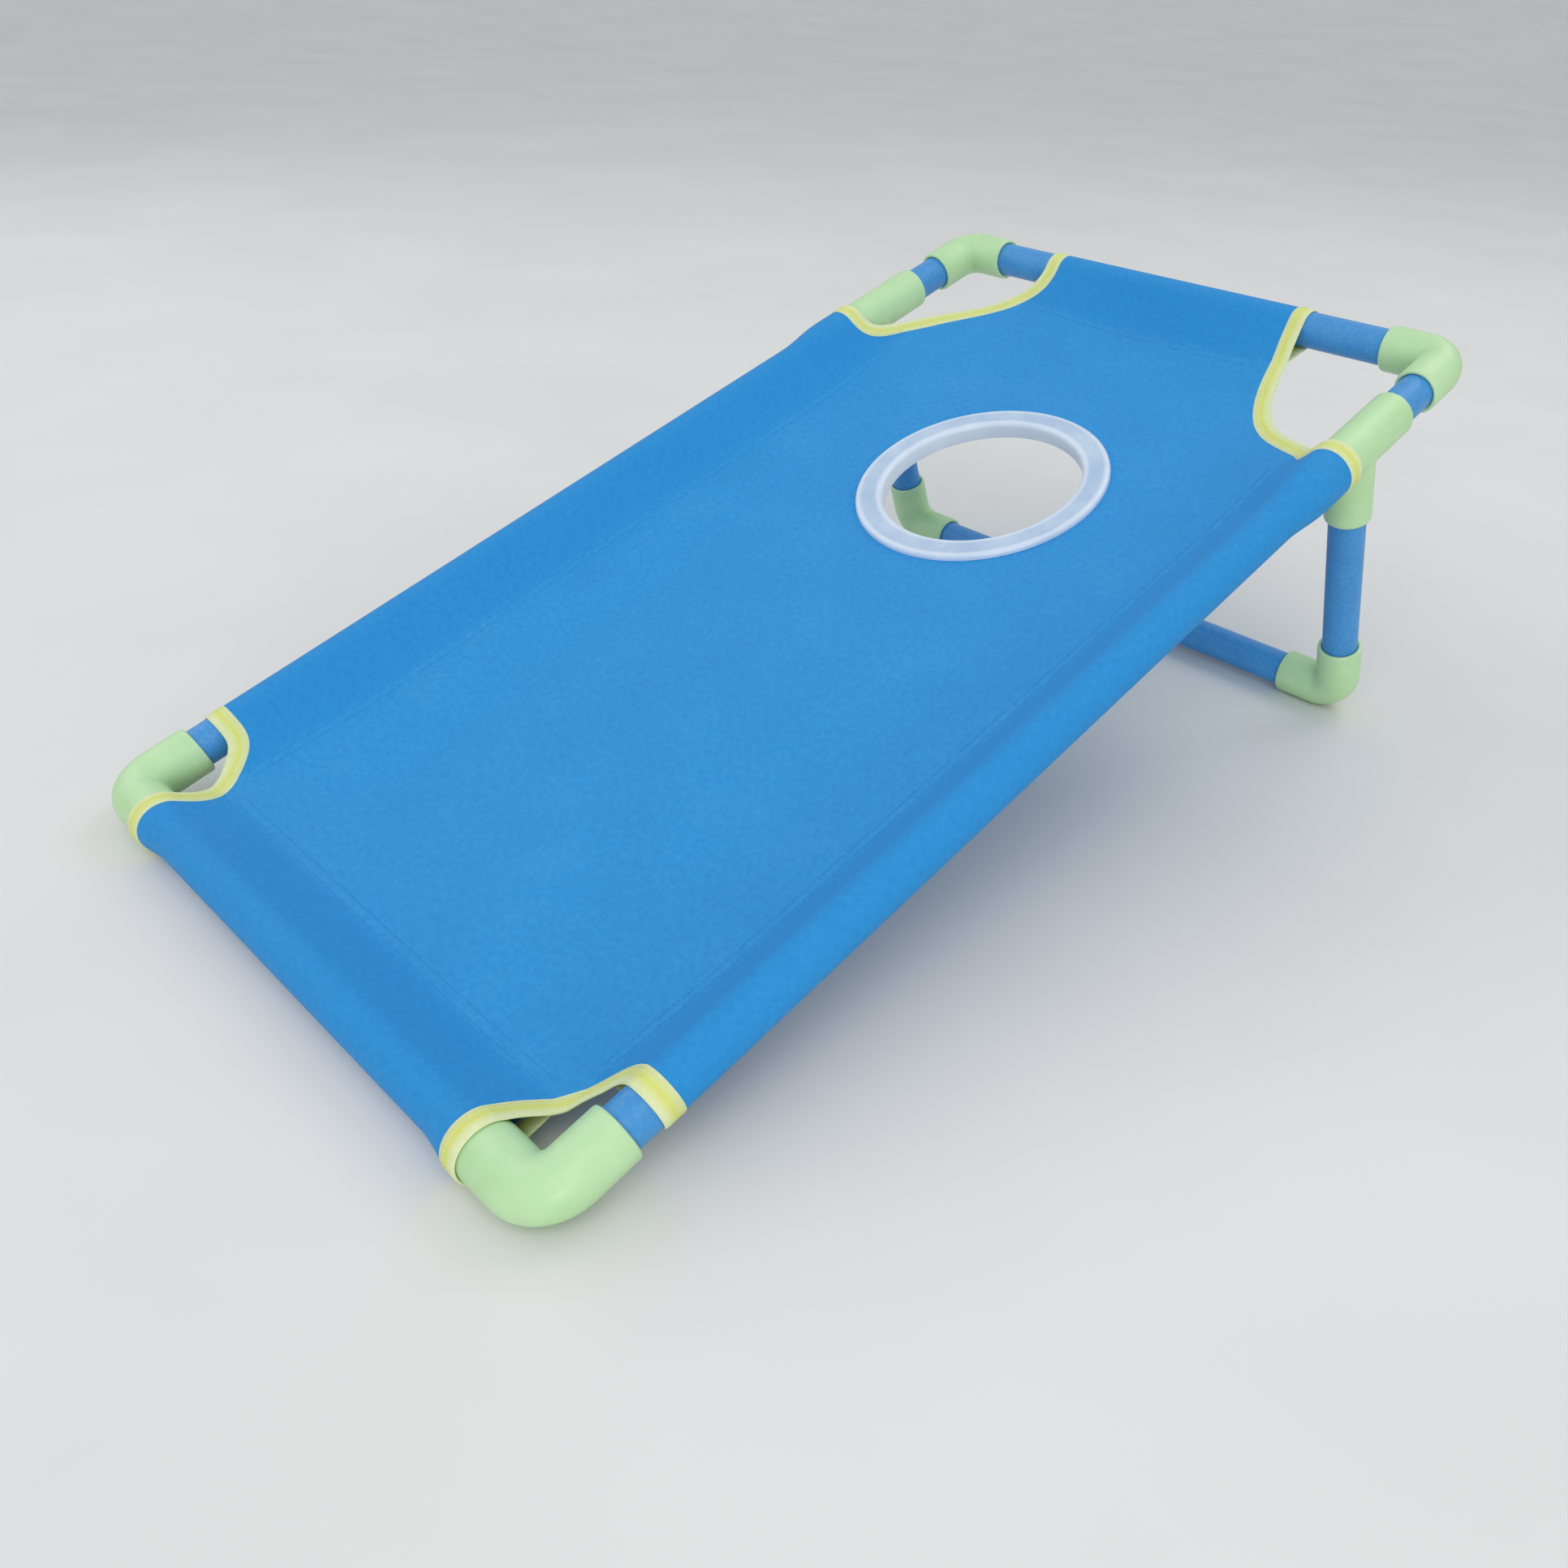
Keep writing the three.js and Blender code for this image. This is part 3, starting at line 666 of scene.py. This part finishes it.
def cover_mesh():
    """The whole sewn cover as one sheet: a fine grid, trimmed along the cut-outs and the hole."""
    pitch = GRID
    ns = int(round(2 * S_HALF / pitch))
    nt = int(round(2 * T_HALF / pitch))
    s_line = np.linspace(-S_HALF, S_HALF, ns + 1)
    t_line = np.linspace(-T_HALF, T_HALF, nt + 1)
    s, t = (g.ravel() for g in np.meshgrid(s_line, t_line))
    keep = np.full(len(s), 1.0)
    for name in CORNERS:
        keep = np.minimum(keep, inside_of(name, s, t))
    v = LENGTH / 2 + t
    keep = np.minimum(keep, np.hypot(s, v - RING_V) - (HOLE_R + 3.2 * MM))
    flat = list(zip(s, t))
    faces = []
    used = {}
    crossings = {}

    def grid_point(i):
        return used.setdefault(i, len(used))

    extra = []

    def crossing(i, j):
        key = (min(i, j), max(i, j))
        if key not in crossings:
            k = keep[key[0]] / (keep[key[0]] - keep[key[1]])
            a, b = flat[key[0]], flat[key[1]]
            crossings[key] = len(extra)
            extra.append((a[0] + (b[0] - a[0]) * k, a[1] + (b[1] - a[1]) * k))
        return ("x", crossings[key])

    wide = ns + 1
    solid = keep > 0
    for j in range(nt):
        for i in range(ns):
            quad = (j * wide + i, j * wide + i + 1, (j + 1) * wide + i + 1, (j + 1) * wide + i)
            flags = [solid[q] for q in quad]
            if all(flags):
                faces.append(tuple(("g", grid_point(q)) for q in quad))
            elif any(flags):
                outline = []
                for k in range(4):
                    a, b = quad[k], quad[(k + 1) % 4]
                    if solid[a]:
                        outline.append(("g", grid_point(a)))
                    if solid[a] != solid[b]:
                        outline.append(crossing(a, b))
                if len(outline) > 2:
                    faces.append(tuple(outline))
    order = [flat[i] for i in used] + extra
    base = len(used)
    faces = [tuple(n if kind == "g" else base + n for kind, n in f) for f in faces]
    order = np.array(order)
    points, _ = cloth_at(order[:, 0], order[:, 1])
    return place_all(points), faces, order


def set_flat_map(obj, flat):
    """Stores the cloth's flat coordinates as its UV map."""
    layer = obj.data.uv_layers.new(name="flat")
    loops = np.zeros(len(obj.data.loops), np.int64)
    obj.data.loops.foreach_get("vertex_index", loops)
    layer.data.foreach_set("uv", flat[loops].astype(np.float32).ravel())


def set_band(obj, values):
    attribute = obj.data.attributes.new("band", "FLOAT", "POINT")
    attribute.data.foreach_set("value", np.asarray(values, np.float32))


cover_points, cover_faces, cover_flat = cover_mesh()
cover = make(
    "cover",
    cover_points,
    cover_faces,
    FABRIC,
    "board",
    ["deck_panel", "sleeve_left", "sleeve_right", "sleeve_front", "sleeve_rear"],
    80,
)
set_flat_map(cover, cover_flat)
# Painted shade: the band darkens the cloth past the seams, over the slopes and round the rails.
past_s = np.abs(cover_flat[:, 0]) - (HALF_W - SEAM_IN)
past_t = np.abs(cover_flat[:, 1]) - (LENGTH / 2 - SEAM_IN)
set_band(cover, 0.75 * ease(np.maximum(past_s, past_t) / (4 * MM) + 0.5))
thick = cover.modifiers.new("thickness", "SOLIDIFY")
thick.thickness = CLOTH
thick.offset = 0.0


# ---- binding tape ----
TAPE_SECTION = [
    (1.0, 0.62),
    (0.97, 0.9),
    (0.5, 1.0),
    (0.12, 1.0),
    (0.02, 0.8),
    (-0.05, 0.4),
    (-0.07, 0.0),
    (-0.05, -0.4),
    (0.02, -0.8),
    (0.12, -1.0),
    (0.5, -1.0),
    (0.97, -0.9),
    (1.0, -0.62),
]


def corner_to_flat(name, q):
    sx, sy = CORNERS[name]
    s = sx * (q[..., 0] + HALF_W - SEAM_IN)
    t = sy * (q[..., 1] + LENGTH / 2 - SEAM_IN)
    return s, t


def binding(name):
    """Edging tape folded over one cut edge, following the cloth round both sleeves."""
    sx, sy = CORNERS[name]
    edge = cut_edge(name, 0.0)
    facing = edge_normals(edge)
    count = len(TAPE_SECTION)
    points, flat_map, band = [], [], []
    run = np.concatenate([[0], np.cumsum(np.linalg.norm(np.diff(edge, axis=0), axis=1))])
    for reach, height in TAPE_SECTION:
        q = edge + facing * reach * TAPE
        s, t = corner_to_flat(name, q)
        p, _ = cloth_at(s, t, np.full(len(s), height * TAPE_RISE))
        points.append(p)
        flat_map.append(np.stack([run, np.full_like(run, reach * TAPE)], -1))
        band.append(np.full(len(run), 0.85 if reach < 0.3 or reach > 0.93 else 0.0))
    points = np.stack(points, 1).reshape(-1, 3)
    flat_map = np.stack(flat_map, 1).reshape(-1, 2)
    band = np.stack(band, 1).ravel()
    faces = []
    for k in range(len(edge) - 1):
        for i in range(count):
            j = (i + 1) % count
            quad = (k * count + i, k * count + j, (k + 1) * count + j, (k + 1) * count + i)
            faces.append(quad if sx * sy > 0 else quad[::-1])
    first = tuple(range(count))
    last = tuple((len(edge) - 1) * count + i for i in range(count))
    faces.append(first[::-1] if sx * sy > 0 else first)
    faces.append(last if sx * sy > 0 else last[::-1])
    obj = make(
        f"tape_{name}",
        place_all(points),
        faces,
        BINDING,
        "board",
        [f"binding_{name}"],
        60,
    )
    set_flat_map(obj, flat_map)
    set_band(obj, band)
    return obj


def stitch_row(flat_line, lift, pitch, length, width):
    """Thread stitches along a line of flat positions: small raised grains with sunk ends."""
    step = np.linalg.norm(np.diff(flat_line, axis=0), axis=1)
    run = np.concatenate([[0], np.cumsum(step)])
    at = np.arange(pitch, run[-1] - pitch, pitch)
    half = length / 2
    ends = []
    for offset in (-half, 0.0, half):
        s = np.interp(at + offset, run, flat_line[:, 0])
        t = np.interp(at + offset, run, flat_line[:, 1])
        ends.append(cloth_at(s, t, np.full(len(at), lift)))
    points, faces = [], []
    profile = ((0.0, 0.25), (0.3, 0.85), (0.5, 1.0), (0.7, 0.85), (1.0, 0.25))
    for k in range(len(at)):
        a, b, c = (place_all(e[0][k]) for e in ends)
        normal = place_all(ends[1][1][k]) - np.array(FRONT)
        axis = (c - a) / np.linalg.norm(c - a)
        across = np.cross(axis, normal)
        base = len(points)
        for f, size in profile:
            centre = a + (c - a) * f + (b - (a + c) / 2) * (1 - (2 * f - 1) ** 2)
            for i in range(6):
                turn = math.pi * i / 3
                shift = across * math.cos(turn) + normal * math.sin(turn) * 0.8
                points.append(centre + shift * width / 2 * size)
        for m in range(len(profile) - 1):
            for i in range(6):
                j = (i + 1) % 6
                low, high = base + m * 6, base + (m + 1) * 6
                faces.append((low + i, low + j, high + j, high + i))
        faces.append(tuple(base + i for i in range(5, -1, -1)))
        faces.append(tuple(base + (len(profile) - 1) * 6 + i for i in range(6)))
    return points, faces


STITCH_PITCH = 3.3 * MM
STITCH_LENGTH = 2.5 * MM
THREAD_WIDTH = 0.55 * MM


def stitches(name, lines, lift, material):
    points, faces = [], []
    for line in lines:
        p, f = stitch_row(line, lift, STITCH_PITCH, STITCH_LENGTH, THREAD_WIDTH)
        faces += [tuple(i + len(points) for i in face) for face in f]
        points += p
    obj = make(name, points, faces, material, "board")
    set_band(obj, np.zeros(len(points)))
    return obj


tapes = {name: binding(name) for name in CORNERS}
tape_lines = []
for name in CORNERS:
    edge = cut_edge(name, -4 * MM)
    s, t = corner_to_flat(name, edge + edge_normals(edge) * TAPE * 0.84)
    tape_lines.append(np.stack([s, t], -1))
tape_thread = stitches("tape_stitches", tape_lines, TAPE_RISE + 0.12 * MM, TAPE_THREAD)


# Rows of hem stitching, as distances in from the seam, and how far the rows stop short of the
# seams' corners to keep clear of the taped cut-outs.
HEM_ROWS = (1.5 * MM, 7.5 * MM)
HEM_FRONT_END = 18 * MM
HEM_SIDE_END = {-1: 112 * MM, 1: 118 * MM}
HEM_REAR_END = {-1: 72 * MM, 1: 94 * MM}


def hem_lines():
    """Two rows of stitching along each sleeve's seam, between the taped corners."""
    lines = []
    u0, v0 = HALF_W - SEAM_IN, LENGTH / 2 - SEAM_IN
    for back in HEM_ROWS:
        for sx in (-1, 1):
            t = np.linspace(-v0 + HEM_FRONT_END, v0 - HEM_SIDE_END[sx], 400)
            lines.append(np.stack([np.full_like(t, sx * (u0 - back)), t], -1))
        s = np.linspace(-u0 + HEM_FRONT_END, u0 - HEM_FRONT_END, 300)
        lines.append(np.stack([s, np.full_like(s, -v0 + back)], -1))
        s = np.linspace(-u0 + HEM_REAR_END[-1], u0 - HEM_REAR_END[1], 300)
        lines.append(np.stack([s, np.full_like(s, v0 - back)], -1))
    return lines


hem_thread = stitches("hem_stitches", hem_lines(), CLOTH / 2 + 0.1 * MM, THREAD)

# ---- hole ring ----
RING_SIDES = 160
RING_BASE = -SEAM_DROP - SAG + CLOTH / 2 + 0.05 * MM
RING_T = 4.2 * MM
BARREL_LOW = RING_BASE - 8.6 * MM


def arc(centre_r, centre_z, radius, start, end, steps=6):
    turns = [math.radians(start + (end - start) * i / steps) for i in range(steps + 1)]
    return [(centre_r + radius * math.cos(a), centre_z + radius * math.sin(a)) for a in turns]


def ring_profile():
    top = RING_BASE + RING_T
    soft, lip = 3.0 * MM, 3.6 * MM
    outline = [(HOLE_R + 2.2 * MM, BARREL_LOW), (HOLE_R + 2.2 * MM, RING_BASE), (RING_R, RING_BASE)]
    outline += arc(RING_R - soft, top - soft, soft, 0, 90)
    outline += [(RING_R - 5.5 * MM, top - 0.35 * MM), (HOLE_R + lip + 5.5 * MM, top - 0.45 * MM)]
    outline += [(HOLE_R + lip + 2.5 * MM, top - 0.15 * MM)]
    outline += arc(HOLE_R + lip, top - lip, lip, 90, 180)
    outline += arc(HOLE_R + 0.8 * MM, BARREL_LOW + 0.8 * MM, 0.8 * MM, 180, 270, 3)
    return outline


def painted_rim_highlight(radius):
    """Painted highlight: the ring's rounded outer and inner edges are made paler."""
    return 0.45 if radius > RING_R - 3.5 * MM or radius < HOLE_R + 4 * MM else 0.0


top_points, top_faces = lathe(ring_profile(), place(0, RING_V, 0), OUT, RING_SIDES)
hole_ring = make("ring_top", top_points, top_faces, RING, "board", ["hole_ring"], 50)
set_band(hole_ring, np.repeat([painted_rim_highlight(r) for r, _ in ring_profile()], RING_SIDES))

BACK_TOP = -SEAM_DROP - SAG - CLOTH / 2 - 0.05 * MM
back_outline = [(HOLE_R + 2.5 * MM, BACK_TOP), (94 * MM, BACK_TOP)]
back_outline += arc(92.4 * MM, BACK_TOP - 1.0 * MM, 1.6 * MM, 0, -90, 4)
back_outline += [(HOLE_R + 2.5 * MM, BACK_TOP - 2.6 * MM)]
back_points, back_faces = lathe(back_outline, place(0, RING_V, 0), OUT, RING_SIDES)
make("ring_back", back_points, back_faces, RING, "board", ["hole_back_ring"], 50)

# ---- floor, light, camera ----
floor_material = Nodes("floor")
where = floor_material.add("ShaderNodeTexCoord").outputs["Object"]
floor_material.link(
    floor_material.ramp(
        floor_material.noise(where, 3.0, 4.0),
        [(0.3, rgb("dcdcda")), (0.7, rgb("e2e2e0"))],
    ),
    floor_material.shader.inputs["Base Color"],
)
floor_material.shader.inputs["Roughness"].default_value = 0.85
# A wide round floor whose far edge curves up, as (radius, height).
FLOOR_SIDES = 96
FLOOR_RINGS = [
    (0.01, 0.0),
    (2.0, 0.0),
    (6.0, 0.0),
    (10.0, 0.25),
    (15.0, 1.2),
    (22.0, 3.6),
    (30.0, 7.5),
]
floor_points, floor_faces = [], []
for radius, height in FLOOR_RINGS:
    centre = Vector((0, 0, height))
    across, back = Vector((1, 0, 0)), Vector((0, 1, 0))
    floor_points += ring_points(centre, across, back, radius, FLOOR_SIDES)
for k in range(len(FLOOR_RINGS) - 1):
    low, high = k * FLOOR_SIDES, (k + 1) * FLOOR_SIDES
    for i in range(FLOOR_SIDES):
        j = (i + 1) % FLOOR_SIDES
        floor_faces.append((low + i, high + i, high + j, low + j))
floor_faces.append(tuple(range(FLOOR_SIDES)))
floor_mesh = bpy.data.meshes.new("floor")
floor_mesh.from_pydata([tuple(p) for p in floor_points], [], floor_faces)
for polygon in floor_mesh.polygons:
    polygon.use_smooth = True
floor = bpy.data.objects.new("floor", floor_mesh)
floor_mesh.materials.append(floor_material.material)
bpy.context.scene.collection.objects.link(floor)

world = bpy.data.worlds.new("studio")
world.use_nodes = True
world.node_tree.nodes["Background"].inputs[0].default_value = (0.93, 0.96, 1.0, 1)
world.node_tree.nodes["Background"].inputs[1].default_value = 0.68
bpy.context.scene.world = world


def soft_light(name, location, aim, size, power, colour):
    light = bpy.data.lights.new(name, "AREA")
    light.size = size
    light.energy = power
    light.color = colour
    obj = bpy.data.objects.new(name, light)
    obj.location = location
    obj.rotation_euler = (Vector(aim) - Vector(location)).to_track_quat("-Z", "Y").to_euler()
    bpy.context.scene.collection.objects.link(obj)


soft_light("key", (1.5, -1.5, 2.2), (0, 0, 0.1), 2.2, 20, (1.0, 0.99, 0.97))
soft_light("fill", (-1.9, -0.7, 1.7), (0, 0, 0.1), 2.2, 12, (0.94, 0.97, 1.0))
soft_light("low", (2.3, -1.6, 0.55), (0.1, 0.25, 0.1), 1.0, 15, (1.0, 0.99, 0.97))
soft_light("back", (0.3, 2.0, 2.3), (0, 0.1, 0.1), 1.6, 13, (1.0, 0.99, 0.97))

CAMERA_AT = Vector((0.6315, -0.5819, 0.5121))
CAMERA_AIM = Vector((0.2043, -0.0946, 0.1))
CAMERA_ROLL = math.radians(3.18)
camera = bpy.data.cameras.new("camera")
camera.sensor_width = 36.0
camera.lens = 30.67
camera.shift_x = -0.1045
camera.clip_start = 0.01
view_from = bpy.data.objects.new("camera", camera)
turn = (CAMERA_AIM - CAMERA_AT).to_track_quat("-Z", "Y").to_matrix().to_4x4()
view_from.matrix_world = Matrix.Translation(CAMERA_AT) @ turn @ Matrix.Rotation(CAMERA_ROLL, 4, "Z")
bpy.context.scene.collection.objects.link(view_from)
bpy.context.scene.camera = view_from
bpy.context.scene.view_settings.view_transform = "Standard"
